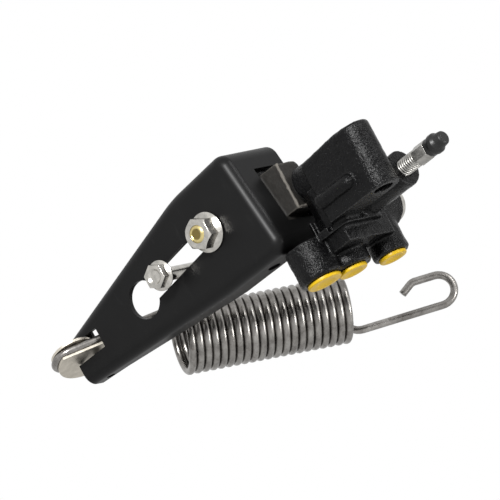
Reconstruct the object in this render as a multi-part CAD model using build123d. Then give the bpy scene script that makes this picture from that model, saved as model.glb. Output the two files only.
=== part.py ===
from build123d import *
from math import sqrt
import os

# Brake load sensing valve, in millimetres.
# Places are first given from the centre of the flange nut on the lever's web:
# X runs along the lever to the bleeder, Y runs back from the web, Z is up.
# Everything is moved at the end so that the mounting hole's lower face is the origin.

# Clearances
slip = 0.05
run_gap = 0.2
seat_gap = 0.3

# Lever channel
sheet = 2.5
bend_radius = 5.0
tip_x = -97.6
tip_low_z = -21.3
low_edge_z = -26.6
low_knee_x = -10.0
tip_top_z = 0.6
knee_x = -13.0
knee_z = 23.6
knee_round = 80.0
wide_x = 24.2
wide_z = 26.9
heel_x = 31.2
tip_depth = 9.8
middle_x = -20.0
middle_depth = 16.5
ear_depth = 17.2
wide_depth = 35.5
wide_corner = 7.0
heel_corner = 8.0
notch_start_x = -80.2
notch_top_z = -2.2
notch_low_z = -11.6

# Keyhole slot in the web
slot_half = 4.6
keyhole_radius = 8.5
keyhole_x = -49.4
keyhole_z = -5.8

# Lever pivot
pivot_x = 12.5
pivot_y = 12.0
pivot_pin_radius = 3.0
pivot_wall = 2.5

# Stop block in the window of the lever's end wall
window_near_y = 14.5
window_far_y = 33.2
window_low_z = -13.0
window_top_z = 15.0
block_face_x = 35.0
block_near_y = 18.3
block_far_y = 32.8
block_low_z = -10.3
block_top_z = 12.0
block_corner = 1.0
block_far_corner = 3.0
collar_thick = 1.6
collar_lap = 2.0

# Stud, nut and strap
stud_x = -1.4
stud_z = 0.8
stud_radius = 4.0
stud_front_y = -8.6
nut_flange_radius = 8.95
nut_flange_thick = 1.6
nut_height = 8.0
nut_across_flats = 13.0
strap_y = 24.0
strap_thick = 3.0
strap_end_radius = 5.0
stud_neck_radius = 3.0

# Adjusting bolt
bolt_x = -30.0
bolt_z = -3.7
bolt_radius = 3.0
bolt_stand = 6.5
bolt_flange_radius = 6.8
bolt_flange_thick = 1.3
bolt_head_height = 5.2
bolt_across_flats = 10.0
bolt_tail = 6.0
lock_nut_across_flats = 9.4
lock_nut_height = 5.0
strap_bolt_radius = 4.2

# Load spring
wire = 3.5
coil_radius = 13.3
coil_pitch = 3.53
coil_turns = 21.22
hook_radius = 7.0
near_hook_reach = 50.0
near_hook_lean = -0.2
far_hook_reach = 43.2
far_hook_lean = -0.2
far_end_run = 9.0
near_end_run = 10.0
bight_x = -97.9
bight_y = -3.1
bight_z = -7.2
spring_axis = Vector(0.6, 0.76, -0.235).normalized()
thimble_axis = Vector(0.0629, -0.2777, -0.9593).normalized()

# Hook thimble and its pin
thimble_radius = 14.6
thimble_offset = 8.0
thimble_plate = 1.2
thimble_cap_radius = 10.0
thimble_cap_offset = 2.5
thimble_lip = 2.2
thimble_core_length = 22.0
tip_pin_x = -90.0
tip_pin_y = 7.0
tip_pin_radius = 2.0

# Casting
lug_x = 84.2
lug_y = 13.0
lug_radius = 8.0
lug_bore_radius = 4.45
lug_low_z = -28.5
lug_top_z = 3.0
lug_edge = 2.0
lug_plate_near_y = 5.0
lug_plate_far_y = 21.0
lug_plate_x = 50.0
lug_plate_top_z = 0.6
rib_radius = 3.6
rib_z = -18.5
rib_start_x = 56.0
rib_end_x = 75.0
arm_half_height = 7.0
arm_near_y = 38.5
arm_far_y = 49.5
port_face_z = -44.7
ports = {
    "front": (32.1, 13.0, 10.5, 8.1, -27.6),
    "middle": (38.2, 26.8, 9.7, 6.8, -19.0),
    "rear": (45.1, 47.8, 8.7, 6.5, -20.0),
}
port_drill_radius = 1.5
port_drill_wall = 3.0
port_chamfer = 0.8
core_x = (38.5, 60.0)
core_y = (10.0, 38.0)
core_z = (-31.0, -8.0)
core_corner = 4.0
web_z = (-38.0, -27.6)
web_far_x = 56.0
lever_room_x = 34.6
lever_room_y = 38.0
lever_room_z = (-27.3, -7.1)
port_thread_radius = 5.0
port_depth = 14.0
plug_head_thick = 1.6
plug_wall = 1.1
plug_tip_length = 9.0

# Main bore with the load piston
main_y = 25.5
main_z = -3.0
main_outer = 9.5
main_bore = 6.0
main_face_x = 38.5
main_end_x = 66.0
main_wall = 5.0
stem_radius = 3.0
bush_length = 7.0
boot_thick = 1.2
ring_thick = 1.0
piston_head = 8.0
piston_travel = 1.6

# Cross bore with the bypass piston
cross_x = 44.9
cross_z = -21.6
cross_outer = 10.5
cross_bore = 5.5
cross_near_y = 27.0
cross_end_y = 60.0
cross_wall = 5.0
end_plug_radius = 7.8
end_plug_head = 4.5
end_plug_length = 10.0
gasket_thick = 1.0
bypass_length = 10.0
bypass_travel = 1.0
bypass_land = 3.0
bypass_waist = 2.0

# Bleeder
bleeder_y = 30.4
bleeder_z = -21.7
bleeder_boss_radius = 8.6
bleeder_face_x = 86.7
bleeder_thread_radius = 4.0
bleeder_thread_out = 9.4
bleeder_thread_in = 16.0
bleeder_hex = 8.0
bleeder_hex_length = 7.2
bleeder_nipple_radius = 2.6
bleeder_nipple_length = 9.0
cap_length = 10.3
cap_base_radius = 4.25
cap_bulge_radius = 4.75
cap_nub_radius = 3.3

origin = Vector(lug_x, lug_y, lug_low_z)


def rod(start, direction, radius, length):
    """A cylinder that starts at a point and runs along a direction."""
    return extrude(Plane(origin=start, z_dir=direction) * Circle(radius), length)


def box(x0, x1, y0, y1, z0, z1):
    """A box between two corners."""
    return Pos((x0 + x1) / 2, (y0 + y1) / 2, (z0 + z1) / 2) * Box(x1 - x0, y1 - y0, z1 - z0)


def hexagon(start, direction, across_flats, length):
    """A hexagonal prism, sized across its flats."""
    flat = RegularPolygon(across_flats / 2, 6, major_radius=False)
    return extrude(Plane(origin=start, z_dir=direction) * flat, length)


def turned(start, direction, points):
    """A solid of revolution from (distance along the axis, radius) points."""
    side = Vector(0, 0, 1) if abs(Vector(direction).normalized().Z) < 0.9 else Vector(1, 0, 0)
    plane = Plane(origin=start, x_dir=direction, z_dir=Vector(direction).cross(side))
    outline = Polyline(*points, close=True)
    return revolve(plane * make_face(outline), Axis(start, direction))


def side_face(points):
    """A flat face in the web's plane from (x, z) points."""
    return make_face(Polyline(*[(x, 0, z) for x, z in points], close=True))


def lever_outline(inset=0.0, tip_end=tip_x):
    """The lever's outline in the web's plane, drawn in by an inset on three sides."""
    top_slope = (knee_z - tip_top_z) / (knee_x - tip_x)
    low_slope = (low_edge_z - tip_low_z) / (low_knee_x - tip_x)
    return [
        (tip_end, tip_top_z - inset + top_slope * (tip_end - tip_x)),
        (knee_x, knee_z - inset),
        (wide_x - inset, wide_z - inset),
        (heel_x - inset, low_edge_z + inset),
        (low_knee_x, low_edge_z + inset),
        (tip_end, tip_low_z + inset + low_slope * (tip_end - tip_x)),
    ]


def rounded_prism(outline, radius):
    """A prism on an outline, rounded at the wide end's corners and round its front face."""
    prism = extrude(side_face(outline), wide_depth, dir=(0, 1, 0))
    upright = prism.edges().filter_by(Axis.Y)
    knees = [edge for edge in upright if low_knee_x - 5 < edge.center().X < 0]
    prism = fillet(knees, knee_round)
    corners = [edge for edge in prism.edges().filter_by(Axis.Y) if edge.center().X > heel_x / 2]
    prism = fillet(corners, radius + wide_corner - bend_radius)
    front = prism.faces().sort_by(Axis.Y)[0].edges()
    return fillet([edge for edge in front if edge.center().X > outline[0][0] + 1], radius)


def inner_wall_x(z):
    """Inner face of the slanted end wall at a height."""
    rise = wide_z - low_edge_z - 2 * sheet
    return heel_x - sheet - (heel_x - wide_x) * (z - low_edge_z - sheet) / rise


def lever_channel():
    """Stamped channel with keyhole slot, open notched tip and a windowed end wall."""
    outer = rounded_prism(lever_outline(), bend_radius)
    beyond = tip_x - 2 * bend_radius
    inner = Pos(0, sheet, 0) * rounded_prism(lever_outline(sheet, beyond), bend_radius - sheet)
    channel = outer - inner
    ear_end_x = pivot_x + pivot_pin_radius + pivot_wall
    depth_line = [
        (tip_x - 20, tip_depth),
        (tip_pin_x + 2 * tip_pin_radius + 5, tip_depth),
        (middle_x, middle_depth),
        (pivot_x, ear_depth),
        (ear_end_x - 1, ear_depth),
        (ear_end_x + 3, wide_depth),
        (ear_end_x + 3, wide_depth + 10),
        (tip_x - 20, wide_depth + 10),
    ]
    behind = make_face(Polyline(*[(x, y, 0) for x, y in depth_line], close=True))
    channel -= extrude(Pos(0, 0, -60) * behind, 120)
    channel -= slot_cutter()
    channel -= box(tip_x - 20, notch_start_x, -1, sheet + bend_radius, notch_low_z, notch_top_z)
    channel -= box(pivot_x + 5, 40, window_near_y, window_far_y, window_low_z, window_top_z)
    channel -= corner_cutter()
    channel -= rod((pivot_x, pivot_y, -40), (0, 0, 1), pivot_pin_radius + slip, 90)
    channel -= rod((tip_pin_x, tip_pin_y, -40), (0, 0, 1), tip_pin_radius, 60)
    return channel


def slot_cutter():
    """Keyhole: a slot from the nut to a round hole down the taper's middle line."""
    along = (Vector(keyhole_x, 0, keyhole_z) - Vector(stud_x, 0, stud_z)).normalized()
    across = (-along.Z * slot_half, along.X * slot_half)
    sides = [
        (stud_x + across[0], stud_z + across[1]),
        (keyhole_x + across[0], keyhole_z + across[1]),
        (keyhole_x - across[0], keyhole_z - across[1]),
        (stud_x - across[0], stud_z - across[1]),
    ]
    cutter = extrude(Pos(0, -1, 0) * side_face(sides), sheet + 2, dir=(0, 1, 0))
    cutter += rod((stud_x, -1, stud_z), (0, 1, 0), slot_half, sheet + 2)
    cutter += rod((keyhole_x, -1, keyhole_z), (0, 1, 0), keyhole_radius, sheet + 2)
    return cutter


def corner_cutter():
    """Rounds the far lower corner of the end wall."""
    size = heel_corner
    square = box(15, 50, wide_depth - size, wide_depth + 1, low_edge_z - 1, low_edge_z + size)
    round_part = rod((10, wide_depth - size, low_edge_z + size), (1, 0, 0), size, 45)
    return square - round_part


def stop_block():
    """Rubber block through the window, with a collar behind the end wall."""
    inner_low = inner_wall_x(block_low_z) - collar_thick
    inner_top = inner_wall_x(block_top_z) - collar_thick
    nose = side_face([
        (inner_low, block_low_z),
        (block_face_x, block_low_z),
        (block_face_x, block_top_z),
        (inner_top, block_top_z),
    ])
    block = extrude(Pos(0, block_near_y, 0) * nose, block_far_y - block_near_y, dir=(0, 1, 0))
    upper_far = block.edges().filter_by(lambda edge: edge.center().Z > block_top_z - 0.1)
    block = fillet(upper_far.sort_by(Axis.Y)[-1], block_far_corner)
    front = [edge for edge in block.edges() if edge.center().X > block_face_x - 0.1]
    block = fillet(front, block_corner)
    low = window_low_z - collar_lap
    top = block_top_z
    collar = side_face([
        (inner_wall_x(low) - collar_thick, low),
        (inner_wall_x(low) - slip, low),
        (inner_wall_x(top) - slip, top),
        (inner_wall_x(top) - collar_thick, top),
    ])
    near = window_near_y - collar_lap
    far = window_far_y + collar_lap - 0.5
    return block + extrude(Pos(0, near, 0) * collar, far - near, dir=(0, 1, 0))


def adjuster_stud():
    """Stud through the web, with a neck riveted in the strap."""
    return turned((stud_x, stud_front_y, stud_z), (0, 1, 0), [
        (0, 0),
        (0, stud_radius - 0.8),
        (0.8, stud_radius),
        (strap_y - stud_front_y, stud_radius),
        (strap_y - stud_front_y, stud_neck_radius),
        (strap_y + strap_thick - stud_front_y, stud_neck_radius),
        (strap_y + strap_thick - stud_front_y, stud_neck_radius + 0.9),
        (strap_y + strap_thick + 1 - stud_front_y, stud_neck_radius + 0.3),
        (strap_y + strap_thick + 1 - stud_front_y, 0),
    ])


def flange_nut():
    """Hexagon flange nut against the web."""
    seat = (stud_x, 0, stud_z)
    hexagon_part = hexagon(seat, (0, -1, 0), nut_across_flats, nut_height)
    cone = turned(seat, (0, -1, 0), [
        (0, 0),
        (0, nut_across_flats),
        (nut_height - 2.0, nut_across_flats * 0.66),
        (nut_height, nut_across_flats * 0.49),
        (nut_height, 0),
    ])
    flange = turned(seat, (0, -1, 0), [
        (0, 0),
        (0, nut_flange_radius - 0.4),
        (0.5, nut_flange_radius),
        (nut_flange_thick * 0.7, nut_flange_radius),
        (nut_flange_thick + 1.0, nut_across_flats / 2),
        (nut_flange_thick + 1.0, 0),
    ])
    nut = (hexagon_part & cone) + flange
    return nut - rod((stud_x, 1, stud_z), (0, -1, 0), stud_radius, nut_height + 2)


def strap_outline():
    """The strap's outline: two round ends joined by tangent sides."""
    first = rod((stud_x, 0, stud_z), (0, 1, 0), strap_end_radius, strap_thick)
    second = rod((bolt_x, 0, bolt_z), (0, 1, 0), strap_bolt_radius, strap_thick)
    along = (Vector(bolt_x, 0, bolt_z) - Vector(stud_x, 0, stud_z)).normalized()
    side = (-along.Z, along.X)
    bar = side_face([
        (stud_x + side[0] * strap_end_radius, stud_z + side[1] * strap_end_radius),
        (bolt_x + side[0] * strap_bolt_radius, bolt_z + side[1] * strap_bolt_radius),
        (bolt_x - side[0] * strap_bolt_radius, bolt_z - side[1] * strap_bolt_radius),
        (stud_x - side[0] * strap_end_radius, stud_z - side[1] * strap_end_radius),
    ])
    return first + second + extrude(bar, strap_thick, dir=(0, 1, 0))


def adjuster_strap():
    """Strap behind the web that carries the stud and the adjusting bolt."""
    strap = Pos(0, strap_y, 0) * strap_outline()
    strap -= rod((stud_x, strap_y - 1, stud_z), (0, 1, 0), stud_neck_radius, strap_thick + 2)
    strap -= rod((bolt_x, strap_y - 1, bolt_z), (0, 1, 0), bolt_radius + slip, strap_thick + 2)
    return strap


def stud_spacer():
    """Tube on the stud between the web and the strap."""
    tube = rod((stud_x, sheet, stud_z), (0, 1, 0), stud_radius + 1.0, strap_y - sheet)
    return tube - rod((stud_x, sheet - 1, stud_z), (0, 1, 0), stud_radius, strap_y)


def lock_nut():
    """Nut welded on the back of the strap for the adjusting bolt."""
    start = (bolt_x, strap_y + strap_thick, bolt_z)
    nut = hexagon(start, (0, 1, 0), lock_nut_across_flats, lock_nut_height)
    return nut - rod(start, (0, 1, 0), bolt_radius + slip, lock_nut_height)


def adjusting_bolt():
    """Flange bolt that stands in front of the web and runs back to the strap."""
    seat_y = -bolt_stand
    start = (bolt_x, seat_y, bolt_z)
    shank_end = strap_y + strap_thick + lock_nut_height + bolt_tail
    shank = turned(start, (0, 1, 0), [
        (0, 0),
        (0, bolt_radius),
        (shank_end - seat_y - 0.8, bolt_radius),
        (shank_end - seat_y, bolt_radius - 0.8),
        (shank_end - seat_y, 0),
    ])
    flange = turned(start, (0, -1, 0), [
        (0, 0),
        (0, bolt_flange_radius - 0.3),
        (0.4, bolt_flange_radius),
        (bolt_flange_thick * 0.7, bolt_flange_radius),
        (bolt_flange_thick + 0.8, bolt_across_flats / 2),
        (bolt_flange_thick + 0.8, 0),
    ])
    head = hexagon(start, (0, -1, 0), bolt_across_flats, bolt_head_height)
    dish_start = (bolt_x, seat_y - bolt_head_height, bolt_z)
    head -= turned(dish_start, (0, 1, 0), [
        (0, 0),
        (0, bolt_across_flats * 0.36),
        (0.9, bolt_across_flats * 0.26),
        (0.9, 0),
    ])
    return shank + flange + head


def flange_top_z(x):
    """Outer face of the lever's upper flange at a distance along it."""
    if x < knee_x:
        return tip_top_z + (knee_z - tip_top_z) * (x - tip_x) / (knee_x - tip_x)
    return knee_z + (wide_z - knee_z) * (x - knee_x) / (wide_x - knee_x)


def flange_low_z(x):
    """Outer face of the lever's lower flange at a distance along it."""
    share = min(1.0, (x - tip_x) / (low_knee_x - tip_x))
    return tip_low_z + (low_edge_z - tip_low_z) * share


def tip_pin():
    """Pin between the flanges at the lever's tip, flush with them."""
    low = flange_low_z(tip_pin_x) + 0.6
    high = flange_top_z(tip_pin_x - tip_pin_radius) - 0.6
    return rod((tip_pin_x, tip_pin_y, low), (0, 0, 1), tip_pin_radius, high - low)


def pivot_pin():
    """Pin through the flanges and the casting's arm, flush with the flanges."""
    low = low_edge_z + 1.0
    high = flange_top_z(pivot_x - pivot_pin_radius) - 0.4
    return rod((pivot_x, pivot_y, low), (0, 0, 1), pivot_pin_radius, high - low)


def pivot_washers():
    """Two spacer washers between the arm and the flanges."""
    washers = []
    high_inside = flange_top_z(pivot_x - 5) - sheet - 0.35
    for low, high in (
        (low_edge_z + sheet + run_gap, -arm_half_height),
        (arm_half_height, high_inside),
    ):
        outer = pivot_pin_radius + 1.0
        tube = rod((pivot_x, pivot_y, low), (0, 0, 1), outer, high - low)
        washers.append(tube - rod((pivot_x, pivot_y, low), (0, 0, 1), pivot_pin_radius, high - low))
    return Compound(washers)


def coil_helix():
    """Centre line of the load spring's coil, from the near end along its own axis."""
    return Helix(coil_pitch, coil_pitch * coil_turns, coil_radius, lefthand=True)


def square_to(direction, other):
    """A direction turned square to another one."""
    return (direction - other * direction.dot(other)).normalized()


def near_bight():
    """Centre of the near hook's half turn and its directions, in the coil's own frame."""
    helix = coil_helix()
    leaving = (helix % 0) * -1
    outward = square_to(Vector(near_hook_lean, 0, -1), leaving)
    return helix @ 0 + outward * near_hook_reach, leaving, outward


def spring_plane():
    """Place of the coil's own frame, with the near hook's half turn at the lever's tip."""
    up = square_to(thimble_axis, spring_axis)
    turned_only = Plane(origin=(0, 0, 0), x_dir=-up, z_dir=spring_axis)
    centre = turned_only.from_local_coords(near_bight()[0])
    start = Vector(bight_x, bight_y, bight_z) - centre
    return Plane(origin=start, x_dir=-up, z_dir=spring_axis)


def hook_edges(start, leaving, outward, reach, tail):
    """Edges of a hook: a quarter bend, a straight run, a half turn and a short tail."""
    outward = square_to(outward, leaving)
    diagonal = hook_radius * sqrt(0.5)
    bend_end = start + leaving * hook_radius + outward * hook_radius
    middle = start + leaving * diagonal + outward * (hook_radius - diagonal)
    bend = ThreePointArc(start, middle, bend_end)
    run_end = start + leaving * hook_radius + outward * reach
    back = start - leaving * hook_radius + outward * reach
    half_turn = ThreePointArc(run_end, start + outward * (reach + hook_radius), back)
    last = Line(back, back - outward * tail)
    return [curve.edges()[0] for curve in (bend, Line(bend_end, run_end), half_turn, last)]


def load_spring():
    """Close-wound tension spring, one wire with a long hook at each end."""
    helix = coil_helix()
    near_way = Vector(near_hook_lean, 0, -1)
    near = hook_edges(helix @ 0, (helix % 0) * -1, near_way, near_hook_reach, near_end_run)
    end = helix @ 1
    far_way = Vector(end.X, end.Y, 0).normalized() * far_hook_lean + Vector(0, 0, 1)
    far = hook_edges(end, helix % 1, far_way, far_hook_reach, far_end_run)
    path = Wire(near + [helix.edges()[0]] + far)
    section = Plane(origin=near[-1] @ 1, z_dir=near[-1] % 1) * Circle(wire / 2)
    return spring_plane() * sweep(section, path=path, is_frenet=False)


def hook_thimble():
    """Zinc-plated seat of the near hook: a core between two plates, on the tip pin."""
    centre, leaving, outward = near_bight()
    half = wire / 2 + 2 * slip
    core_half = hook_radius - wire / 2 - slip
    across = leaving.cross(outward)
    middle = Plane(origin=centre, x_dir=outward * -1, z_dir=across)
    length = thimble_core_length
    core_face = Circle(core_half) + Pos(length / 2, 0) * Rectangle(length, 2 * core_half)
    disc = Pos(thimble_offset, 0) * Circle(thimble_radius)
    near_sign = 1 if middle.y_dir.dot(leaving) > 0 else -1
    cut_y = near_sign * (core_half + thimble_lip + 2 * thimble_radius)
    cut = Pos(thimble_offset, cut_y) * Rectangle(4 * thimble_radius, 4 * thimble_radius)
    thimble = middle * extrude(core_face & disc, half, both=True)
    plate_side = 1 if across.X > 0 else -1
    low_plate = Pos(0, 0, half if plate_side < 0 else -half - thimble_plate)
    high_plate = Pos(0, 0, -half - thimble_plate if plate_side < 0 else half)
    cap = Pos(thimble_cap_offset, 0) * Circle(thimble_cap_radius)
    thimble += middle * (high_plate * extrude(cap, thimble_plate))
    thimble += middle * (low_plate * extrude(disc - cut, thimble_plate))
    bore = rod((tip_pin_x, tip_pin_y, low_edge_z), (0, 0, 1), tip_pin_radius + slip, 40)
    return spring_plane() * thimble - bore


def port_boss(place):
    """Cast boss of one port, with its face machined flat."""
    x, y, radius, head, top = place
    boss = rod((x, y, port_face_z), (0, 0, 1), radius, top - port_face_z)
    rim = boss.edges().sort_by(Axis.Z)[0]
    return chamfer(rim, port_chamfer)


def lug():
    """Mounting lug: a tall boss, and its plate back to the bores with a ridge on its side."""
    width = lug_plate_far_y - lug_plate_near_y
    outline = side_face([
        (lug_plate_x, lug_low_z),
        (lug_x, lug_low_z),
        (lug_x, lug_top_z),
        (lug_x - lug_radius, lug_top_z),
        (lug_plate_x, lug_plate_top_z),
    ])
    plate = Pos(0, lug_plate_near_y, 0) * extrude(outline, width, dir=(0, 1, 0))
    boss = plate + rod((lug_x, lug_y, lug_low_z), (0, 0, 1), lug_radius, lug_top_z - lug_low_z)
    upper = [edge for edge in boss.edges() if edge.center().Z > 0 and edge.center().X > lug_plate_x + 1]
    around = [edge for edge in upper if abs(edge.center().Y - lug_y) > 1 or edge.center().X > lug_x]
    boss = fillet(around, lug_edge)
    ridge = rod((rib_start_x, lug_plate_near_y, rib_z), (1, 0, 0), rib_radius, rib_end_x - rib_start_x)
    return boss + ridge + Pos(rib_end_x, lug_plate_near_y, rib_z) * Sphere(rib_radius)


def core():
    """Block under the main bore that joins the ports, the cross bore and the lug."""
    block = box(*core_x, *core_y, *core_z)
    return fillet(block.edges().filter_by(Axis.Z), core_corner)


def port_web():
    """Web between the three port bosses."""
    points = [ports[name][:2] for name in ("front", "middle", "rear")]
    outline = Polyline(*points, (web_far_x, 44.0), (web_far_x, 12.0), close=True)
    return Pos(0, 0, web_z[0]) * extrude(make_face(outline), web_z[1] - web_z[0])


def casting():
    """Cast iron body: lug, bores, ports and bleeder boss, cut back for the lever's swing."""
    body = lug() + core() + port_web()
    main_length = main_end_x + main_wall - main_face_x
    body += rod((main_face_x, main_y, main_z), (1, 0, 0), main_outer, main_length)
    body += rod((cross_x, cross_near_y, cross_z), (0, 1, 0), cross_outer, cross_end_y - cross_near_y)
    for place in ports.values():
        body += port_boss(place)
    start = (lug_plate_x - 2, bleeder_y, bleeder_z)
    body += rod(start, (1, 0, 0), bleeder_boss_radius, bleeder_face_x - start[0])
    return body - box(0, lever_room_x, -lever_room_y, lever_room_y, *lever_room_z)


def pivot_arm():
    """Arm of the casting that reaches round the end wall to the pivot pin."""
    half = pivot_pin_radius + pivot_wall
    finger = box(pivot_x - half, pivot_x + half, pivot_y, arm_far_y, -arm_half_height, arm_half_height)
    finger += rod((pivot_x, pivot_y, -arm_half_height), (0, 0, 1), half, 2 * arm_half_height)
    beam = box(pivot_x - half, cross_x + 6, arm_near_y, arm_far_y, -arm_half_height, arm_half_height)
    beam += box(cross_x - 8, cross_x + 8, arm_near_y, arm_far_y, cross_z, -arm_half_height + 1)
    beam += box(cross_x - 3, cross_x + 6, main_y + 4, arm_near_y + 1, -arm_half_height, main_z + 6)
    return finger + beam


def valve_body():
    """The casting with its bores, ports and holes cut."""
    body = casting() + pivot_arm()
    body -= rod((lug_x, lug_y, lug_low_z - 1), (0, 0, 1), lug_bore_radius, 50)
    body -= rod((pivot_x, pivot_y, -20), (0, 0, 1), pivot_pin_radius + slip, 40)
    body -= rod((main_face_x - 1, main_y, main_z), (1, 0, 0), main_bore, main_end_x - main_face_x + 1)
    cross_start = (cross_x, cross_near_y + cross_wall, cross_z)
    body -= rod(cross_start, (0, 1, 0), cross_bore, cross_end_y)
    for x, y, radius, head, top in ports.values():
        drill_length = top - port_drill_wall - port_face_z
        body -= rod((x, y, port_face_z), (0, 0, 1), port_thread_radius, port_depth)
        body -= rod((x, y, port_face_z), (0, 0, 1), port_drill_radius, drill_length)
    hole_length = bleeder_thread_in + 1
    start = (bleeder_face_x + 1, bleeder_y, bleeder_z)
    body -= rod(start, (-1, 0, 0), bleeder_thread_radius + slip, hole_length + 1)
    return body


def end_plug():
    """Threaded hexagon-socket plug that closes the cross bore."""
    start = (cross_x, cross_end_y, cross_z)
    head_start = cross_end_y + gasket_thick
    plug = rod(start, (0, -1, 0), cross_bore - slip, end_plug_length)
    plug += rod(start, (0, 1, 0), cross_bore - slip, gasket_thick)
    head = rod((cross_x, head_start, cross_z), (0, 1, 0), end_plug_radius, end_plug_head)
    head = chamfer(head.edges().sort_by(Axis.Y)[-1], 0.8)
    socket_start = (cross_x, head_start + end_plug_head, cross_z)
    return plug + head - hexagon(socket_start, (0, -1, 0), 6.0, 4.0)


def end_plug_gasket():
    """Copper washer under the end plug."""
    start = (cross_x, cross_end_y, cross_z)
    return rod(start, (0, 1, 0), end_plug_radius, gasket_thick) - rod(start, (0, 1, 0), cross_bore, gasket_thick)


def bypass_piston():
    """Spool in the cross bore, with two lands and a waist."""
    start = (cross_x, cross_near_y + cross_wall, cross_z)
    land = cross_bore - slip
    return turned(start, (0, 1, 0), [
        (0, 0),
        (0, land - 0.5),
        (0.5, land),
        (bypass_land, land),
        (bypass_land, land - bypass_waist),
        (bypass_length - bypass_land, land - bypass_waist),
        (bypass_length - bypass_land, land),
        (bypass_length, land),
        (bypass_length, 0),
    ])


def coil_spring(start, direction, radius, thread, length, turns):
    """Compression spring as one swept helix."""
    helix = Helix(length / turns, length, radius)
    section = Plane(origin=helix @ 0, z_dir=helix % 0) * Circle(thread / 2)
    spring = sweep(section, path=helix, is_frenet=True)
    return Plane(origin=start, z_dir=direction) * spring


def bypass_spring():
    """Compression spring between the spool and the end plug."""
    thread = 1.0
    low = cross_near_y + cross_wall + bypass_length + bypass_travel + thread / 2 + slip
    high = cross_end_y - end_plug_length - thread / 2 - slip
    return coil_spring((cross_x, low, cross_z), (0, 1, 0), cross_bore - 1.3, thread, high - low, 3)


def gland_bush():
    """Guide bush of the piston stem, in the mouth of the main bore."""
    start = (main_face_x + ring_thick, main_y, main_z)
    bush = rod(start, (1, 0, 0), main_bore - slip / 2, bush_length)
    return bush - rod(start, (1, 0, 0), stem_radius + slip, bush_length)


def retaining_ring():
    """Snap ring that holds the bush, open on one side."""
    start = (main_face_x, main_y, main_z)
    ring = rod(start, (1, 0, 0), main_bore - slip / 2, ring_thick)
    ring -= rod(start, (1, 0, 0), main_bore - 1.6, ring_thick)
    gap = box(main_face_x - 1, main_face_x + 3, main_y - 1, main_y + 1, main_z, main_z + main_bore)
    return ring - gap


def dust_boot():
    """Rubber wiper between the casting's face and the piston's stem."""
    start = (main_face_x, main_y, main_z)
    return turned(start, (-1, 0, 0), [
        (0, stem_radius + 1.0),
        (0, main_bore + 2.0),
        (0.8, main_bore + 2.0),
        (boot_thick, stem_radius + 2.0),
        (boot_thick, stem_radius + 0.1),
        (0.6, stem_radius + 0.1),
    ])


def load_piston():
    """Stepped piston: a stem out to the stop block and a head in the bore."""
    tip = block_face_x + seat_gap
    start = (tip, main_y, main_z)
    head_start = main_face_x + ring_thick + bush_length + seat_gap - tip
    return turned(start, (1, 0, 0), [
        (0, 0),
        (0, 1.2),
        (1.0, stem_radius),
        (head_start, stem_radius),
        (head_start, main_bore - slip),
        (head_start + piston_head, main_bore - slip),
        (head_start + piston_head, 0),
    ])


def piston_cup():
    """Rubber cup on the bore side of the piston's head."""
    back = main_face_x + ring_thick + bush_length + seat_gap + piston_head
    return turned((back, main_y, main_z), (1, 0, 0), [
        (0, 0),
        (0, main_bore - 0.1),
        (2.5, main_bore - 0.1),
        (2.5, main_bore - 1.2),
        (1.2, main_bore - 1.6),
        (1.2, 0),
    ])


def piston_spring():
    """Return spring between the cup and the bottom of the main bore."""
    thread = 0.9
    low = main_face_x + ring_thick + bush_length + seat_gap + piston_head + 1.2 + thread / 2 + piston_travel + 0.1
    high = main_end_x - thread / 2 - slip
    return coil_spring((low, main_y, main_z), (1, 0, 0), 3.0, thread, high - low, 4)


def bleeder_screw():
    """Bleeder: thread, hexagon and nipple."""
    inner = (bleeder_face_x - bleeder_thread_in, bleeder_y, bleeder_z)
    thread_length = bleeder_thread_in + bleeder_thread_out
    screw = turned(inner, (1, 0, 0), [
        (0, 0),
        (0, 1.0),
        (2.5, bleeder_thread_radius - 0.6),
        (thread_length, bleeder_thread_radius - 0.35),
        (thread_length, 0),
    ])
    hex_start = (bleeder_face_x + bleeder_thread_out, bleeder_y, bleeder_z)
    screw += hexagon(hex_start, (1, 0, 0), bleeder_hex, bleeder_hex_length)
    nipple_start = (hex_start[0] + bleeder_hex_length, bleeder_y, bleeder_z)
    screw += turned(nipple_start, (1, 0, 0), [
        (0, 0),
        (0, bleeder_nipple_radius - 0.5),
        (4, bleeder_nipple_radius - 0.5),
        (5, bleeder_nipple_radius),
        (bleeder_nipple_length - 1.5, bleeder_nipple_radius),
        (bleeder_nipple_length, bleeder_nipple_radius - 0.7),
        (bleeder_nipple_length, 0),
    ])
    return screw


def bleeder_cap():
    """Rubber cap on the nipple, bulged in the middle and narrowed to a nub."""
    start_x = bleeder_face_x + bleeder_thread_out + bleeder_hex_length + slip
    hollow = bleeder_nipple_radius + slip
    return turned((start_x, bleeder_y, bleeder_z), (1, 0, 0), [
        (0, hollow),
        (0, cap_base_radius),
        (2.0, cap_base_radius + 0.1),
        (3.2, cap_bulge_radius),
        (5.2, cap_bulge_radius),
        (6.6, cap_nub_radius + 0.4),
        (cap_length - 0.8, cap_nub_radius),
        (cap_length, cap_nub_radius - 0.8),
        (cap_length, 0),
        (bleeder_nipple_length + 0.2, 0),
        (bleeder_nipple_length + 0.2, hollow),
    ])


def port_plug(place):
    """Moulded transport plug: a dished head and a hollow stem in the port."""
    x, y, radius, head, top = place
    stem = port_thread_radius - slip * 2
    return turned((x, y, port_face_z), (0, 0, 1), [
        (-0.2, 0),
        (-plug_head_thick + 0.5, head * 0.55),
        (-plug_head_thick, head * 0.7),
        (-plug_head_thick, head - 0.4),
        (-plug_head_thick + 0.4, head),
        (0, head),
        (0, stem),
        (plug_tip_length, stem - 0.3),
        (plug_tip_length, stem - plug_wall - 0.3),
        (1.2, stem - plug_wall),
        (1.2, 0),
    ])


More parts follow.
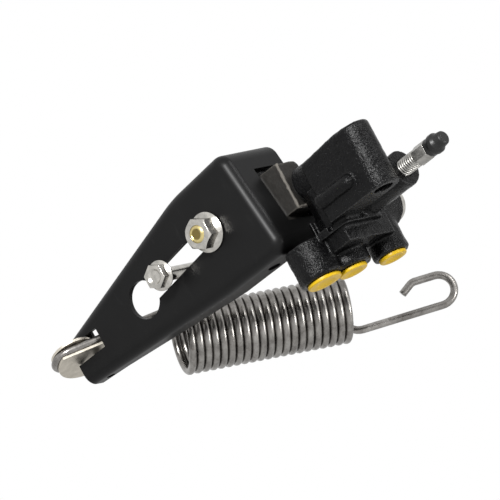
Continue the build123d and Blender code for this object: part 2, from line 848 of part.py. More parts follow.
def main():
    """Builds each sub-part and writes it, moved to the mounting hole's lower face."""
    nodes = {
        "valve_body": valve_body(),
        "end_plug": end_plug(),
        "end_plug_gasket": end_plug_gasket(),
        "bypass_piston": bypass_piston(),
        "bypass_spring": bypass_spring(),
        "gland_bush": gland_bush(),
        "retaining_ring": retaining_ring(),
        "dust_boot": dust_boot(),
        "piston_spring": piston_spring(),
        "load_piston": load_piston(),
        "piston_cup": piston_cup(),
        "pivot_pin": pivot_pin(),
        "pivot_washers": pivot_washers(),
        "lever_channel": lever_channel(),
        "stop_block": stop_block(),
        "adjuster_stud": adjuster_stud(),
        "stud_spacer": stud_spacer(),
        "flange_nut": flange_nut(),
        "adjuster_strap": adjuster_strap(),
        "lock_nut": lock_nut(),
        "adjusting_bolt": adjusting_bolt(),
        "tip_pin": tip_pin(),
        "hook_thimble": hook_thimble(),
        "load_spring": load_spring(),
        "bleeder_screw": bleeder_screw(),
        "bleeder_cap": bleeder_cap(),
    }
    for name, place in ports.items():
        nodes["port_plug_" + name] = port_plug(place)
    os.makedirs("parts", exist_ok=True)
    for name, solid in nodes.items():
        export_step(Pos(-origin.X, -origin.Y, -origin.Z) * solid, f"parts/{name}.step")
        print(name, round(solid.volume), "mm3")


main()
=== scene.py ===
import math

import bmesh
import bpy
from mathutils import Matrix, Vector, noise


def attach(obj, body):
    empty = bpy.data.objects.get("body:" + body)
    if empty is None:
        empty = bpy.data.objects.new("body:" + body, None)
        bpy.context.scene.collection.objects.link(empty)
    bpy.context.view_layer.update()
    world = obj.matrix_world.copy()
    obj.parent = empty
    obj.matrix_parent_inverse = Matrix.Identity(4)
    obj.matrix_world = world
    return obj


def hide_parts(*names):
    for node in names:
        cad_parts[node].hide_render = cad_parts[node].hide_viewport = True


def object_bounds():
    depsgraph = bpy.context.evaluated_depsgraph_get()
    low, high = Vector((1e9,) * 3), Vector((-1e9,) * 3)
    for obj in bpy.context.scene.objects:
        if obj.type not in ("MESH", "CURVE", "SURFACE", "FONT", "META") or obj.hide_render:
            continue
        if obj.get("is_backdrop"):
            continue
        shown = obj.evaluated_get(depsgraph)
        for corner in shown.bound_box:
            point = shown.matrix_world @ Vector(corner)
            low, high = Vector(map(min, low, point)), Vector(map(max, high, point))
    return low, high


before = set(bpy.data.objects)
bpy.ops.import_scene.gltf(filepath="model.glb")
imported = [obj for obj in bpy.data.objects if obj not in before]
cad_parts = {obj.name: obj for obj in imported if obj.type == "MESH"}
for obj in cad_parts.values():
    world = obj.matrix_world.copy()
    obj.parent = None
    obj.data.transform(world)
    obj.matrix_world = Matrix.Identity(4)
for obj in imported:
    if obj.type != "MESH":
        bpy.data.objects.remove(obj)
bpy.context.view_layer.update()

MM = 0.001

# Places are given in millimetres from the flange nut's centre on the lever's web. This one is the
# centre of the mounting hole's lower face, where the frame has its origin.
LUG = Vector((84.2, 13.0, -28.5))

# Load spring: its wire, drawn a little inside the solid's surface, its coil and its two hooks
WIRE = 3.5
WIRE_INSET = 0.005
COIL_RADIUS = 13.3
COIL_PITCH = 3.53
COIL_TURNS = 21.22
COIL_RISE = COIL_PITCH / (2 * math.pi)
STEPS_PER_TURN = 40
HOOK_RADIUS = 7.0
NEAR_REACH = 50.0
FAR_REACH = 43.2
NEAR_LEAN = -0.2
FAR_LEAN = -0.2
NEAR_TAIL = 10.0
FAR_TAIL = 9.0

# The cut end of each hook: its length, how many degrees each step turns it in and how many in all, and
# the height of its dome as a share of the wire's radius
NEAR_CURL = 0.8
FAR_CURL = 7.5
CURL_BEND = 12.0
CURL_MOST = 36.0
DOME = 0.12

# Steps along a hook's straight parts and bends, its half turn and its tail
BEND_STEPS = 8
TURN_STEPS = 20
TAIL_STEPS = 3

# Where the near hook sits on the thimble, and the directions of coil and thimble
BIGHT = Vector((-97.9, -3.1, -7.2))
SPRING_AXIS = Vector((0.6, 0.76, -0.235)).normalized()
THIMBLE_AXIS = Vector((0.0629, -0.2777, -0.9593)).normalized()

# Middle of the stud's front end, and the radii of its dish, painted dark as shade, and of the rim round it
# where that painted shade has faded out
STUD_END = (-1.4, -8.6, 0.8)
DISH_RADIUS = 2.3
RIM_RADIUS = 2.9

# Bleeder thread, from inside the boss to under the hexagon
THREAD_START = Vector((84.7, 30.4, -21.7))
THREAD_LENGTH = 11.2
THREAD_RADIUS = 4.0
THREAD_DEPTH = 0.62
THREAD_PITCH = 1.25
THREAD_SIDES = 48
ROWS_PER_TURN = 10
CREST_SLOPE = 2.6
CREST_SINK = 0.15
RUN_IN_ROWS = 6
RUN_OUT_ROWS = 4

# Plans and heights of the corners carved off the casting, at the lug plate's end and under the main bore
PLATE_CORNER = ((49.0, 4.0), (56.5, 4.0), (49.0, 14.0))
PLATE_HEIGHTS = (-30.0, 2.0)
CORE_CORNER = ((37.0, 8.0), (57.0, 8.0), (57.0, 14.0), (45.0, 14.5), (37.0, 20.0))
CORE_HEIGHTS = (-27.2, -7.0)

# Stop block: the line of its flash, and the lip behind the window's top edge
FLASH_CORNERS = (Vector((34.6, 18.6, 11.5)), Vector((34.6, 18.6, -9.9)), Vector((34.6, 31.6, -9.9)))
FLASH_STEPS = 20
FLASH_RADIUS = 0.7
LIP_PLAN = ((21.3, 17.8), (22.6, 17.8), (22.6, 32.0), (21.3, 32.0))
LIP_HEIGHTS = (11.0, 16.8)

# Points this near are merged, in millimetres; then angles in degrees: what counts as flat, which edges
# are broken, and which keep a sharp shading
WELD = 0.002
FLAT_ANGLE = 1.0
BROKEN_ANGLE = 34.0
SHARP_ANGLE = 32.0

# Photograph: the nut's centre in pixels, the scale, and the view's directions to the right, back to
# the camera and up
NUT_PIXEL = (211.0, 232.0)
PIXELS_PER_MM = 2.3
IMAGE_SIZE = 500.0
VIEW_RIGHT = Vector((0.641, 0.611, -0.458)).normalized()
VIEW_BACK = Vector((0.583, -0.776, -0.225)).normalized()
VIEW_UP = VIEW_BACK.cross(VIEW_RIGHT)
CAMERA_DISTANCE = 1.0

# Studio, in metres and watts: each lamp's name, its place by the view's directions, size and power
LAMPS = (
    ("key", (-0.31, 0.42, 0.85), 0.2, 18.0),
    ("side", (0.45, 0.75, 0.3), 0.25, 3.0),
    ("right", (0.75, 0.05, 0.25), 0.25, 4.0),
)
SOFT_LIGHT = 0.3
FLOOR_DROP = 0.4
FLOOR_HALF = 4.0
FLOOR_GLOW = 0.7
WHITE = (1.0, 1.0, 1.0, 1.0)


def at(x, y, z):
    """A place in millimetres from the nut's centre, as one in the frame's metres."""
    return (Vector((x, y, z)) - LUG) * MM


def square_to(direction, other):
    """The part of a direction that is square to another, at length one."""
    return (direction - other * direction.dot(other)).normalized()


class Value:
    """A shader socket with arithmetic."""

    def __init__(self, graph, socket):
        self.graph = graph
        self.socket = socket

    def _math(self, operation, first, second):
        return self.graph.node("ShaderNodeMath", {"operation": operation}, {0: first, 1: second})

    def __add__(self, other):
        return self._math("ADD", self, other)

    __radd__ = __add__

    def __mul__(self, other):
        return self._math("MULTIPLY", self, other)

    __rmul__ = __mul__

    def __sub__(self, other):
        return self._math("SUBTRACT", self, other)

    def __rsub__(self, other):
        return self._math("SUBTRACT", other, self)

    def clamp(self):
        """The value held between zero and one."""
        return self.graph.node("ShaderNodeClamp", {}, {"Value": self})


class Graph:
    """A node tree that nodes are added to."""

    def __init__(self, tree):
        self.tree = tree

    def node(self, kind, settings, inputs, output=0):
        """Adds a node, with its settings first, and gives one of its outputs."""
        made = self.tree.nodes.new(kind)
        for name, value in settings.items():
            setattr(made, name, value)
        for name, value in inputs.items():
            if isinstance(value, Value):
                self.tree.links.new(value.socket, made.inputs[name])
            else:
                made.inputs[name].default_value = value
        return Value(self, made.outputs[output]) if made.outputs else None

    def background_rays(self):
        """One for the rays that have to meet the plain background: seen, mirrored or let through."""
        seen = 0.0
        for ray in ("Is Camera Ray", "Is Glossy Ray", "Is Transmission Ray"):
            seen = self.node("ShaderNodeLightPath", {}, {}, ray) + seen
        return seen.clamp()


class Finish(Graph):
    """A material with its shader and the nodes behind it."""

    def __init__(self, name, **constants):
        self.material = bpy.data.materials.new(name)
        self.material.use_nodes = True
        super().__init__(self.material.node_tree)
        self.shader = self.tree.nodes["Principled BSDF"]
        for socket, value in constants.items():
            self.shader.inputs[socket.replace("_", " ")].default_value = value
        self.place = self.node("ShaderNodeTexCoord", {}, {}, "Object")

    def noise(self, size, detail=4.0, roughness=0.55, stretch=None):
        """Noise with features of a size in millimetres."""
        place = self.place
        if stretch:
            place = self.node("ShaderNodeMapping", {}, {"Vector": place, "Scale": stretch})
        return self.node("ShaderNodeTexNoise", {}, {
            "Vector": place, "Scale": 1.0 / (size * MM), "Detail": detail, "Roughness": roughness})

    def cells(self, size):
        """Distance from the middles of cells of a size in millimetres."""
        return self.node("ShaderNodeTexVoronoi", {}, {"Vector": self.place, "Scale": 1.0 / (size * MM)})

    def spread(self, value, low, high, new_low=0.0, new_high=1.0):
        """The value's range from low to high drawn out to a new range, and held at its ends."""
        return self.node("ShaderNodeMapRange", {"clamp": True}, {
            "Value": value, "From Min": low, "From Max": high,
            "To Min": new_low, "To Max": new_high})

    def mix(self, amount, first, second):
        """Colour between two colours."""
        return self.node("ShaderNodeMix", {"data_type": "RGBA"}, {0: amount, 6: first, 7: second}, 2)

    def edge_wear_and_highlight(self, low, high):
        """Mask of the convex edges: worn, dusty edges on the rubber, and a painted highlight on the
        casting's edges.
        """
        pointy = self.node("ShaderNodeNewGeometry", {}, {}, "Pointiness")
        return self.spread(pointy, low, high)

    def feed(self, socket, value):
        """Links a value to one of the shader's sockets."""
        self.tree.links.new(value.socket, self.shader.inputs[socket])

    def bump(self, height, distance, strength=1.0):
        """Bump whose height of one stands for a distance in millimetres."""
        normal = self.node("ShaderNodeBump", {}, {
            "Height": height, "Distance": distance * MM, "Strength": strength})
        self.feed("Normal", normal)


def grey(value, tint=(1.0, 1.0, 1.0)):
    """A grey, a little tinted where a tint is given."""
    return (value * tint[0], value * tint[1], value * tint[2], 1.0)


def satin_paint():
    """Satin black paint of the stamped lever, with orange peel and faint scuffs."""
    finish = Finish("satin_black_paint", IOR=1.5, Specular_IOR_Level=0.15)
    patches = finish.noise(22.0, detail=5.0)
    streaks = finish.noise(3.0, detail=8.0, roughness=0.7, stretch=(1.0, 1.0, 0.25))
    scuffs = finish.spread(streaks, 0.60, 0.74)
    colour = finish.mix(patches, grey(0.002, (1.0, 1.0, 1.1)), grey(0.004))
    finish.feed("Base Color", finish.mix(scuffs * 0.2, colour, grey(0.025)))
    finish.feed("Roughness", finish.spread(patches, 0.3, 0.7, 0.37, 0.43) + scuffs * 0.12)
    peel = finish.noise(1.1, detail=3.0)
    waves = finish.noise(6.0, detail=2.0)
    finish.bump(peel * 0.6 + waves * 0.4, 0.05, strength=0.35)
    return finish.material


def cast_paint():
    """Gloss black paint that has run over a rough sand casting, with a painted highlight that makes its
    convex edges paler.
    """
    finish = Finish("cast_iron_black_paint", IOR=1.5, Specular_IOR_Level=0.13)
    grain = finish.noise(1.2, detail=6.0, roughness=0.62)
    pits = finish.spread(finish.cells(1.1), 0.15, 0.6)
    lumps = finish.noise(5.0, detail=3.0)
    fine = finish.noise(0.45, roughness=0.7)
    colour = finish.mix(grain, grey(0.0006, (1.0, 1.0, 1.2)), grey(0.002, (1.0, 1.0, 1.1)))
    # The convex edges are mixed towards grey 0.045: a painted highlight along the casting's edges.
    finish.feed("Base Color", finish.mix(finish.edge_wear_and_highlight(0.52, 0.59) * 0.8, colour, grey(0.045)))
    finish.feed("Roughness", finish.spread(grain, 0.35, 0.65, 0.2, 0.34))
    finish.bump(grain * 0.6 + pits * 0.25 + lumps * 0.5 + fine * 0.25, 0.38)
    return finish.material


def zinc(name, pale, dark, smooth=0.16, rough=0.34):
    """Zinc plating, slightly clouded, with its range of roughness."""
    finish = Finish(name, Metallic=1.0)
    clouds = finish.noise(3.0, detail=5.0)
    fine = finish.noise(0.4)
    colour = finish.mix(finish.spread(clouds, 0.35, 0.7), dark, pale)
    finish.feed("Base Color", finish.mix(finish.spread(fine, 0.55, 0.72) * 0.4, colour, dark))
    finish.feed("Roughness", finish.spread(fine * 0.5 + clouds * 0.5, 0.35, 0.65, smooth, rough))
    finish.bump(fine, 0.02, strength=0.5)
    return finish.material


def stud_zinc():
    """Yellow zinc of the stud, with painted shade and a bump for the dished centre of its front end."""
    finish = Finish("yellow_zinc", Metallic=1.0)
    clouds = finish.noise(1.5, detail=5.0)
    off_axis = finish.node("ShaderNodeVectorMath", {"operation": "DISTANCE"},
                           {0: finish.place, 1: at(*STUD_END)}, "Value")
    rim = finish.spread(off_axis + clouds * 0.4 * MM, DISH_RADIUS * MM, RIM_RADIUS * MM)
    colour = finish.mix(clouds, (0.50, 0.40, 0.16, 1.0), (0.66, 0.56, 0.27, 1.0))
    # Inside the dish the colour goes to dark brown: painted shade in the recess, as the solid's end is
    # flat.
    finish.feed("Base Color", finish.mix(1.0 - rim, colour, (0.20, 0.15, 0.05, 1.0)))
    finish.feed("Roughness", finish.spread(clouds, 0.35, 0.65, 0.25, 0.42))
    finish.bump(rim + clouds * 0.2, 0.5, strength=0.8)
    return finish.material


def spring_wire():
    """Drawn spring wire with dark brown specks from its heat treatment."""
    finish = Finish("drawn_spring_wire", Metallic=1.0)
    clouds = finish.noise(6.0, detail=6.0, roughness=0.6)
    specks = finish.spread(finish.noise(0.9, detail=7.0, roughness=0.7), 0.52, 0.70)
    dark = (0.14, 0.132, 0.124, 1.0)
    pale = (0.35, 0.338, 0.32, 1.0)
    colour = finish.mix(finish.spread(clouds, 0.3, 0.7), dark, pale)
    finish.feed("Base Color", finish.mix(specks * 0.65, colour, (0.09, 0.075, 0.06, 1.0)))
    finish.feed("Roughness", finish.spread(clouds, 0.3, 0.7, 0.23, 0.36) + specks * 0.2)
    finish.bump(finish.noise(0.7, detail=5.0), 0.03, strength=0.5)
    return finish.material


def steel():
    """Machined steel with fine turning marks."""
    finish = Finish("machined_steel", Metallic=1.0)
    marks = finish.noise(0.6, detail=3.0, roughness=0.5, stretch=(0.1, 1.0, 1.0))
    finish.feed("Base Color", finish.mix(marks, (0.32, 0.32, 0.33, 1.0), (0.5, 0.5, 0.5, 1.0)))
    finish.feed("Roughness", finish.spread(marks, 0.3, 0.7, 0.25, 0.45))
    return finish.material


def copper():
    """Soft copper washer, dulled."""
    finish = Finish("dull_copper", Metallic=1.0)
    clouds = finish.noise(2.0)
    finish.feed("Base Color", finish.mix(clouds, (0.42, 0.19, 0.10, 1.0), (0.72, 0.38, 0.24, 1.0)))
    finish.feed("Roughness", finish.spread(clouds, 0.3, 0.7, 0.3, 0.5))
    return finish.material


def smooth_rubber():
    """Smooth black rubber with a faint bloom."""
    finish = Finish("smooth_black_rubber", IOR=1.5, Specular_IOR_Level=0.28)
    bloom = finish.noise(3.0, detail=5.0)
    finish.feed("Base Color", finish.mix(bloom, grey(0.003), grey(0.009)))
    finish.feed("Roughness", finish.spread(bloom, 0.3, 0.7, 0.34, 0.50))
    finish.bump(finish.noise(0.4, detail=3.0), 0.02, strength=0.4)
    return finish.material


def block_rubber(name, dusty):
    """Dull brownish moulded rubber with dusty edges; a larger dusty makes it paler."""
    finish = Finish(name, IOR=1.45, Specular_IOR_Level=0.25)
    dust = finish.noise(5.0, detail=6.0, roughness=0.6)
    crumbs = finish.spread(finish.noise(0.9, detail=6.0, roughness=0.7), 0.58, 0.72)
    dark = grey(0.018 * dusty, (1.0, 0.93, 0.84))
    pale = grey(0.036 * dusty, (1.0, 0.93, 0.83))
    worn = (finish.edge_wear_and_highlight(0.51, 0.57) * 0.6 + crumbs * 0.2).clamp()
    finish.feed("Base Color", finish.mix(worn, finish.mix(dust, dark, pale), (0.13, 0.12, 0.105, 1.0)))
    finish.feed("Roughness", finish.spread(dust, 0.3, 0.7, 0.55, 0.75))
    finish.bump(finish.noise(0.8, detail=6.0, roughness=0.65), 0.12, strength=0.7)
    return finish.material


def yellow_plastic():
    """Moulded yellow plastic of the transport plugs."""
    finish = Finish("moulded_yellow_plastic", IOR=1.46, Specular_IOR_Level=0.25)
    tone = finish.noise(6.0, detail=3.0)
    finish.feed("Base Color", finish.mix(tone, (0.38, 0.235, 0.003, 1.0), (0.49, 0.32, 0.006, 1.0)))
    finish.feed("Roughness", finish.spread(tone, 0.3, 0.7, 0.3, 0.42))
    finish.bump(finish.noise(0.8, detail=3.0), 0.02, strength=0.4)
    return finish.material


SATIN = satin_paint()
CAST = cast_paint()
ZINC = zinc("bright_zinc", pale=(0.56, 0.54, 0.50, 1.0), dark=(0.38, 0.37, 0.345, 1.0))
DULL_ZINC = zinc("dull_zinc", pale=(0.40, 0.39, 0.37, 1.0), dark=(0.26, 0.255, 0.24, 1.0),
                 smooth=0.3, rough=0.44)
YELLOW_ZINC = stud_zinc()
WIRE_STEEL = spring_wire()
STEEL = steel()
COPPER = copper()
RUBBER = smooth_rubber()
BLOCK = block_rubber("dull_moulded_rubber", dusty=0.55)
FLASH = block_rubber("dusty_flash", dusty=2.6)
THIMBLE = zinc("dull_thimble_plating", pale=(0.60, 0.56, 0.49, 1.0), dark=(0.46, 0.43, 0.37, 1.0),
               smooth=0.42, rough=0.55)
YELLOW = yellow_plastic()

NODE_FINISH = {
    SATIN: ["lever_channel", "adjuster_strap", "pivot_pin", "tip_pin"],
    CAST: ["valve_body"],
    ZINC: ["end_plug", "flange_nut", "lock_nut", "adjusting_bolt"],
    DULL_ZINC: ["bleeder_screw"],
    THIMBLE: ["hook_thimble"],
    YELLOW_ZINC: ["adjuster_stud"],
    WIRE_STEEL: ["load_spring", "bypass_spring", "piston_spring", "retaining_ring"],
    STEEL: ["bypass_piston", "gland_bush", "load_piston", "pivot_washers", "stud_spacer"],
    COPPER: ["end_plug_gasket"],
    RUBBER: ["dust_boot", "piston_cup", "bleeder_cap"],
    BLOCK: ["stop_block"],
    YELLOW: ["port_plug_front", "port_plug_middle", "port_plug_rear"],
}

# Pieces whose sharp edges are broken: name, node, width in millimetres, finish, body and slot
BEVELS = (
    ("stamped_lever", "lever_channel", 0.25, SATIN, "lever", "black_paint"),
    ("plated_flange_nut", "flange_nut", 0.18, ZINC, "lever", "zinc_plate"),
    ("plated_adjusting_bolt", "adjusting_bolt", 0.18, ZINC, "adjuster", "zinc_plate"),
    ("plated_lock_nut", "lock_nut", 0.2, ZINC, "lever", "zinc_plate"),
    ("painted_strap", "adjuster_strap", 0.25, SATIN, "lever", "black_paint"),
    ("plated_thimble", "hook_thimble", 0.2, THIMBLE, "spring", "zinc_plate"),
    ("plated_end_plug", "end_plug", 0.2, ZINC, "root", "zinc_plate"),
    ("plated_bleeder", "bleeder_screw", 0.15, DULL_ZINC, "bleeder", "zinc_plate"),
    ("rubber_cap", "bleeder_cap", 0.25, RUBBER, "cap", "black_rubber"),
    ("front_transport_plug", "port_plug_front", 0.15, YELLOW, "front_plug", "yellow_plastic"),
    ("middle_transport_plug", "port_plug_middle", 0.15, YELLOW, "middle_plug", "yellow_plastic"),
    ("rear_transport_plug", "port_plug_rear", 0.15, YELLOW, "rear_plug", "yellow_plastic"),
)


def paint_nodes():
    """Gives each node its finish."""
    for material, names in NODE_FINISH.items():
        for name in names:
            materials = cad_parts[name].data.materials
            materials.clear()
            materials.append(material)


def loose_piece(name, mesh):
    """A mesh put in the scene as an object."""
    piece = bpy.data.objects.new(name, mesh)
    bpy.context.scene.collection.objects.link(piece)
    return piece


def shade_round(mesh):
    """Smooth shading for every face."""
    for polygon in mesh.polygons:
        polygon.use_smooth = True


def link(name, mesh, material, body, slot, *nodes):
    """Puts a finished mesh in the scene, on its body and in place of its nodes."""
    piece = loose_piece(name, mesh)
    mesh.materials.clear()
    mesh.materials.append(material)
    shade_round(mesh)
    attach(piece, body)
    if nodes:
        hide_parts(*nodes)


def applied(piece):
    """The piece's mesh with its modifiers worked in."""
    graph = bpy.context.evaluated_depsgraph_get()
    return bpy.data.meshes.new_from_object(piece.evaluated_get(graph), depsgraph=graph)


def copy_of(node):
    """A loose copy of a node to model on."""
    return loose_piece("work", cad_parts[node].data.copy())


def closed_mesh(name, made):
    """The mesh of a closed form, with its faces turned outwards."""
    bmesh.ops.recalc_face_normals(made, faces=made.faces)
    mesh = bpy.data.meshes.new(name)
    made.to_mesh(mesh)
    made.free()
    return mesh


def add_ring(made, centre, first, second, reaches):
    """Adds a ring of points round a centre in millimetres, each at its own reach."""
    ring = []
    for side, reach in enumerate(reaches):
        angle = 2 * math.pi * side / len(reaches)
        place = centre + (first * math.cos(angle) + second * math.sin(angle)) * reach
        ring.append(made.verts.new(at(*place)))
    return ring


def add_skin(made, rings):
    """Joins each ring of points to the next with four-sided faces."""
    for first, second in zip(rings, rings[1:]):
        for side in range(len(first)):
            following = (side + 1) % len(first)
            made.faces.new((first[side], first[following], second[following], second[side]))


def prism(points, heights):
    """A loose upright prism on a plan, from its lower to its upper height, in millimetres."""
    made = bmesh.new()
    rings = [[made.verts.new(at(x, y, height)) for x, y in points] for height in heights]
    made.faces.new(rings[0])
    made.faces.new(rings[1])
    add_skin(made, rings)
    return loose_piece("cutter", closed_mesh("cutter", made))


def carve(work, cutters):
    """Cuts loose pieces out of a loose piece and clears them away."""
    for cutter in cutters:
        cut = work.modifiers.new("cut", "BOOLEAN")
        cut.operation = "DIFFERENCE"
        cut.solver = "EXACT"
        cut.object = cutter
    mesh = applied(work)
    work.modifiers.clear()
    work.data = mesh
    for cutter in cutters:
        bpy.data.objects.remove(cutter)


def remeshed(node, voxel, smooth_steps, cutters=()):
    """The node's form as one even mesh of a voxel size in millimetres, its edges smoothed round."""
    work = copy_of(node)
    carve(work, cutters)
    remesh = work.modifiers.new("remesh", "REMESH")
    remesh.mode = "VOXEL"
    remesh.voxel_size = voxel * MM
    smooth = work.modifiers.new("smooth", "SMOOTH")
    smooth.factor = 0.5
    smooth.iterations = smooth_steps
    mesh = applied(work)
    bpy.data.objects.remove(work)
    return mesh


def merge_flats(mesh):
    """Joins the triangles of each flat face into one."""
    made = bmesh.new()
    made.from_mesh(mesh)
    bmesh.ops.remove_doubles(made, verts=made.verts, dist=WELD * MM)
    flat = math.radians(FLAT_ANGLE)
    bmesh.ops.dissolve_limit(made, angle_limit=flat, verts=made.verts, edges=made.edges)
    made.to_mesh(mesh)
    made.free()


def bevelled(name, node, width, material, body, slot):
    """The node's form with its sharp edges broken by a width in millimetres."""
    work = copy_of(node)
    merge_flats(work.data)
    shade_round(work.data)
    bevel = work.modifiers.new("bevel", "BEVEL")
    bevel.limit_method = "ANGLE"
    bevel.angle_limit = math.radians(BROKEN_ANGLE)
    bevel.width = width * MM
    bevel.segments = 2
    weigh = work.modifiers.new("weigh", "WEIGHTED_NORMAL")
    weigh.keep_sharp = True
    mesh = applied(work)
    bpy.data.objects.remove(work)
    link(name, mesh, material, body, slot, node)


def roughen(mesh, waves, inward=0.0):
    """Moves each point along its normal by summed noise; waves are (feature, height) in millimetres."""
    moves = []
    for vertex in mesh.vertices:
        height = -inward
        for feature, amount in waves:
            height += amount * noise.noise(vertex.co / (feature * MM))
        moves.append(vertex.normal * height * MM)
    for vertex, move in zip(mesh.vertices, moves):
        vertex.co += move


def cast_body():
    """The casting with rounded edges, two carved corners and a sand-cast skin."""
    cutters = (prism(PLATE_CORNER, PLATE_HEIGHTS), prism(CORE_CORNER, CORE_HEIGHTS))
    mesh = remeshed("valve_body", voxel=0.5, smooth_steps=7, cutters=cutters)
    roughen(mesh, waves=((1.3, 0.10), (3.5, 0.16), (9.0, 0.12)), inward=0.12)
    link("cast_valve_body", mesh, CAST, "root", "black_cast_iron", "valve_body")


def stop_block():
    """The rubber stop block with its moulded skin."""
    mesh = remeshed("stop_block", voxel=0.45, smooth_steps=4)
    roughen(mesh, waves=((0.9, 0.10), (3.0, 0.14)), inward=0.1)
    link("moulded_stop_block", mesh, BLOCK, "lever", "block_rubber", "stop_block")


def block_flash():
    """The rough flash along two edges of the stop block."""
    points = []
    for first, second in zip(FLASH_CORNERS, FLASH_CORNERS[1:]):
        points += [first.lerp(second, step / FLASH_STEPS) for step in range(FLASH_STEPS)]
    mesh = tube(points, FLASH_RADIUS, sides=10)
    roughen(mesh, waves=((0.9, 0.45), (2.2, 0.3)))
    link("block_flash", mesh, FLASH, "lever", "block_rubber")


def block_lip():
    """The rubber lip behind the window's top edge."""
    lip = prism(LIP_PLAN, LIP_HEIGHTS)
    link("block_lip", lip.data, RUBBER, "lever", "black_rubber")
    bpy.data.objects.remove(lip)


def on_coil(angle):
    """A place on the coil's wire, with the coil upright and its first turn at the origin."""
    return Vector((COIL_RADIUS * math.cos(angle), -COIL_RADIUS * math.sin(angle), COIL_RISE * angle))


def coil_heading(angle):
    """The wire's direction along the coil."""
    heading = Vector((-COIL_RADIUS * math.sin(angle), -COIL_RADIUS * math.cos(angle), COIL_RISE))
    return heading / math.hypot(COIL_RADIUS, COIL_RISE)


def hook(start, leaving, outward, reach, tail, curl):
    """A hook's points from the coil outwards: a bend, a straight part, a half turn, a tail and its curl."""
    outward = square_to(outward, leaving)
    places = []
    for step in range(1, BEND_STEPS + 1):
        turn = step / BEND_STEPS * math.pi / 2
        places.append((HOOK_RADIUS * math.sin(turn), HOOK_RADIUS * (1 - math.cos(turn))))
    for step in range(1, BEND_STEPS + 1):
        places.append((HOOK_RADIUS, HOOK_RADIUS + (reach - HOOK_RADIUS) * step / BEND_STEPS))
    for step in range(1, TURN_STEPS + 1):
        turn = step / TURN_STEPS * math.pi
        places.append((HOOK_RADIUS * math.cos(turn), reach + HOOK_RADIUS * math.sin(turn)))
    for step in range(1, TAIL_STEPS + 1):
        places.append((-HOOK_RADIUS, reach - tail * step / TAIL_STEPS))
    for step in range(1, BEND_STEPS + 1):
        turn = math.radians(min(CURL_MOST, CURL_BEND * step))
        along, out = places[-1]
        length = curl / BEND_STEPS
        places.append((along + math.sin(turn) * length, out - math.cos(turn) * length))
    return [start + leaving * along + outward * out for along, out in places]


def spring_line():
    """Points along the spring's wire, from the near hook's end to the far hook's end."""
    last = COIL_TURNS * 2 * math.pi
    steps = int(COIL_TURNS * STEPS_PER_TURN)
    coil = [on_coil(last * step / steps) for step in range(steps + 1)]
    near_way = Vector((NEAR_LEAN, 0, -1))
    near = hook(coil[0], -coil_heading(0.0), near_way, NEAR_REACH, NEAR_TAIL, NEAR_CURL)
    far_way = Vector((coil[-1].x, coil[-1].y, 0)).normalized() * FAR_LEAN + Vector((0, 0, 1))
    far = hook(coil[-1], coil_heading(last), far_way, FAR_REACH, FAR_TAIL, FAR_CURL)
    sideways = -square_to(THIMBLE_AXIS, SPRING_AXIS)
    turn = Matrix((sideways, SPRING_AXIS.cross(sideways), SPRING_AXIS)).transposed()
    bight = coil[0] + square_to(near_way, -coil_heading(0.0)) * NEAR_REACH
    start = BIGHT - turn @ bight
    return [turn @ point + start for point in near[::-1] + coil + far]


def tube(points, radius, sides=18):
    """A round wire along points in millimetres, with slightly domed cut ends."""
    made = bmesh.new()
    rings = []
    normal = (points[1] - points[0]).orthogonal().normalized()
    for index, point in enumerate(points):
        before = points[max(index - 1, 0)]
        after = points[min(index + 1, len(points) - 1)]
        along = (after - before).normalized()
        normal = square_to(normal, along)
        rings.append(add_ring(made, point, normal, along.cross(normal), [radius] * sides))
    add_skin(made, rings)
    for ring, point, beside in ((rings[0], points[0], points[1]), (rings[-1], points[-1], points[-2])):
        dome = point + (point - beside).normalized() * radius * DOME
        centre = made.verts.new(at(*dome))
        for side in range(sides):
            made.faces.new((ring[side], ring[(side + 1) % sides], centre))
    return closed_mesh("wire", made)


def load_spring():
    """The tension spring as one wire, just inside the solid's surface."""
    mesh = tube(spring_line(), WIRE / 2 - WIRE_INSET)
    link("tension_spring_wire", mesh, WIRE_STEEL, "spring", "spring_steel", "load_spring")


def thread_reach(turns, fade):
    """The thread's radius after a number of turns; a fade below one sinks its crest towards the core."""
    crest = min(1.0, max(0.0, abs(turns % 1.0 - 0.5) * CREST_SLOPE - CREST_SINK))
    return THREAD_RADIUS - THREAD_DEPTH * (1 - crest * fade)


def bleeder_thread():
    """The bleeder's visible thread, which runs out at both ends."""
    along = Vector((1.0, 0.0, 0.0))
    first = along.orthogonal().normalized()
    rows = int(THREAD_LENGTH / THREAD_PITCH * ROWS_PER_TURN)
    made = bmesh.new()
    rings = []
    for row in range(rows + 1):
        distance = THREAD_LENGTH * row / rows
        fade = min(1.0, row / RUN_IN_ROWS, (rows - row) / RUN_OUT_ROWS)
        reaches = []
        for side in range(THREAD_SIDES):
            reaches.append(thread_reach(distance / THREAD_PITCH - side / THREAD_SIDES, fade))
        rings.append(add_ring(made, THREAD_START + along * distance, first, along.cross(first), reaches))
    add_skin(made, rings)
    made.faces.new(rings[0])
    made.faces.new(rings[-1])
    link("bleeder_thread", closed_mesh("thread", made), DULL_ZINC, "bleeder", "zinc_plate")


def smooth_shading():
    """Rounds the shading of the nodes that stay, but not across their sharp edges."""
    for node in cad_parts.values():
        if not node.hide_render:
            node.data.shade_smooth()
            node.data.set_sharp_from_angle(angle=math.radians(SHARP_ANGLE))


def picture_centre():
    """What lies at the centre of the photograph, at the nut's depth, in metres."""
    half = IMAGE_SIZE / 2
    place = (VIEW_RIGHT * ((half - NUT_PIXEL[0]) / PIXELS_PER_MM)
             - VIEW_UP * ((half - NUT_PIXEL[1]) / PIXELS_PER_MM))
    return at(*place)


def view_point(right, up, back):
    """A place by the view's directions, in metres from the picture's centre."""
    return picture_centre() + VIEW_RIGHT * right + VIEW_UP * up + VIEW_BACK * back


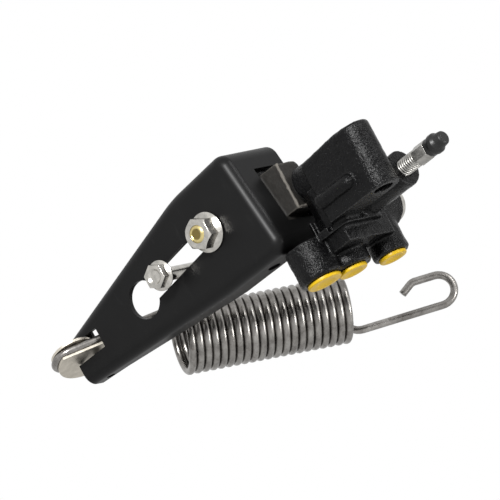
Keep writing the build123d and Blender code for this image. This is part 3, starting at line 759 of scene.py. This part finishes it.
def lamp(name, place, size, power):
    """A soft square lamp aimed at the picture's centre."""
    light = bpy.data.lights.new(name, "AREA")
    light.size = size
    light.energy = power
    holder = loose_piece(name, light)
    holder.location = place
    aim = picture_centre() - place
    holder.rotation_euler = aim.to_track_quat("-Z", "Y").to_euler()


def camera():
    """Parallel view at the photograph's angle and scale."""
    data = bpy.data.cameras.new("camera")
    data.type = "ORTHO"
    data.ortho_scale = IMAGE_SIZE / PIXELS_PER_MM * MM
    data.clip_start = 0.01
    data.clip_end = 20.0
    holder = loose_piece("camera", data)
    right = square_to(VIEW_RIGHT, VIEW_BACK)
    turn = Matrix((right, VIEW_BACK.cross(right), VIEW_BACK)).transposed().to_4x4()
    holder.matrix_world = Matrix.Translation(picture_centre() + VIEW_BACK * CAMERA_DISTANCE) @ turn
    bpy.context.scene.camera = holder


def pale_ground():
    """A matt pale material that the camera sees almost white, with its shadows."""
    finish = Finish("pale_floor", Roughness=0.9)
    finish.shader.inputs["Base Color"].default_value = grey(0.85)
    glow = finish.node("ShaderNodeEmission", {}, {"Color": WHITE})
    lit = Value(finish, finish.shader.outputs[0])
    share = finish.background_rays() * FLOOR_GLOW
    pale = finish.node("ShaderNodeMixShader", {}, {0: share, 1: lit, 2: glow})
    finish.tree.links.new(pale.socket, finish.tree.nodes["Material Output"].inputs["Surface"])
    return finish.material


def floor():
    """A plain pale floor below the part."""
    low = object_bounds()[0][2] - FLOOR_DROP
    signs = ((-1, -1), (1, -1), (1, 1), (-1, 1))
    mesh = bpy.data.meshes.new("floor")
    mesh.from_pydata([(x * FLOOR_HALF, y * FLOOR_HALF, low) for x, y in signs], [], [(0, 1, 2, 3)])
    mesh.materials.append(pale_ground())
    loose_piece("floor", mesh)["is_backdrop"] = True


def studio():
    """White surroundings for the camera and the reflections, soft grey light for the rest."""
    world = bpy.data.worlds.new("studio")
    bpy.context.scene.world = world
    world.use_nodes = True
    graph = Graph(world.node_tree)
    graph.tree.nodes.clear()
    white = graph.node("ShaderNodeBackground", {}, {"Color": WHITE})
    soft = graph.node("ShaderNodeBackground", {}, {"Color": WHITE, "Strength": SOFT_LIGHT})
    shown = graph.node("ShaderNodeMixShader", {}, {0: graph.background_rays(), 1: soft, 2: white})
    graph.node("ShaderNodeOutputWorld", {}, {"Surface": shown})
    for name, place, size, power in LAMPS:
        lamp(name, view_point(*place), size, power)


paint_nodes()
cast_body()
stop_block()
block_flash()
block_lip()
load_spring()
bleeder_thread()
for bevel_piece in BEVELS:
    bevelled(*bevel_piece)
smooth_shading()
camera()
floor()
studio()

bpy.context.scene.view_settings.view_transform = "Standard"
